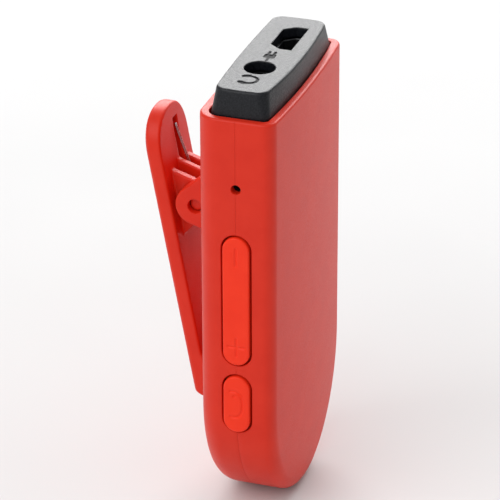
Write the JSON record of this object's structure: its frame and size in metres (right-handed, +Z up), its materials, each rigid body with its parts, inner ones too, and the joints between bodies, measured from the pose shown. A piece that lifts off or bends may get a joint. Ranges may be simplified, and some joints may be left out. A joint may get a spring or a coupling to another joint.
{
  "type": "digital audio player",
  "caption": "Slim clip-on digital audio player with a sprung rear clip, side keys and a black end cap holding the headphone and USB sockets.",
  "frame": {"origin": "where the clip's jaw grips the flat rear face, midway across the case", "axes": "+Z up along the case towards the black port cap, +Y out of the rear face towards the clip, X across the case"},
  "size_m": [0.0294, 0.0215, 0.0613],
  "materials": {
    "red_case": "satin moulded",
    "red_key": "satin moulded",
    "black_cap": "fine grained",
    "steel": "bright",
    "black_plastic": "satin",
    "board": "solder mask",
    "silver": "tinned",
    "gold": "plated",
    "chip": "matt",
    "pouch": "foil",
    "foam": "open cell",
    "rubber": "matt",
    "ferrite": "matt",
    "lead_red": "satin",
    "lead_black": "satin"
  },
  "bodies": {
    "case": {"front_shell": "red_case", "rear_shell": "red_case", "bottom_cap": "red_case", "port_cap": "black_cap", "hinge_pin": "red_case", "clip_spring": "steel", "main_board": "board", "processor_chip": "chip", "flash_chip": "chip", "crystal_can": "silver", "power_inductor": "ferrite", "charge_chip": "chip", "headphone_jack": "black_plastic", "jack_tip_contact": "gold", "jack_ring_contact": "gold", "jack_sleeve_contact": "gold", "usb_shell": "silver", "usb_tongue": "black_plastic", "mic_boot": "rubber", "microphone": "silver", "battery_cell": "pouch", "battery_pad": "foam", "battery_lead_red": "lead_red", "battery_lead_black": "lead_black", "board_screw_upper": "steel", "board_screw_lower": "steel", "volume_down_switch": "silver", "volume_up_switch": "silver", "power_switch": "silver", "skip_back_switch": "silver", "skip_forward_switch": "silver", "play_switch": "silver"},
    "clip": {"clip_lever": "red_case"},
    "volume": {"volume_rocker": "red_key", "volume_down_plunger": "black_plastic", "volume_up_plunger": "black_plastic"},
    "power": {"power_key": "red_key", "power_plunger": "black_plastic"},
    "skip": {"skip_rocker": "red_key", "skip_back_plunger": "black_plastic", "skip_forward_plunger": "black_plastic"},
    "play": {"play_key": "red_key", "play_plunger": "black_plastic"}
  },
  "joints": [
    {"name": "clip_pivot", "type": "hinge", "parent": "case", "child": "clip", "pos_m": [0, 0.0033, 0.0259], "axis": [1, 0, 0], "range_deg": [0, 22], "stiffness_Nm_per_rad": 0.135, "springref_deg": -33.23, "deforming": ["clip_spring"]},
    {"name": "volume_rock", "type": "hinge", "parent": "case", "child": "volume", "pos_m": [-0.01255, -0.00545, 0.01815], "axis": [0, 1, 0], "range_deg": [-1.8, 1.8], "stiffness_Nm_per_rad": 0.3},
    {"name": "power_press", "type": "slide", "parent": "case", "child": "power", "axis": [1, 0, 0], "range_m": [0, 0.00025], "stiffness_N_per_m": 3000},
    {"name": "skip_rock", "type": "hinge", "parent": "case", "child": "skip", "pos_m": [0.01255, -0.00545, 0.01815], "axis": [0, 1, 0], "range_deg": [-1.8, 1.8], "stiffness_Nm_per_rad": 0.3},
    {"name": "play_press", "type": "slide", "parent": "case", "child": "play", "axis": [-1, 0, 0], "range_m": [0, 0.00025], "stiffness_N_per_m": 3000}
  ]
}
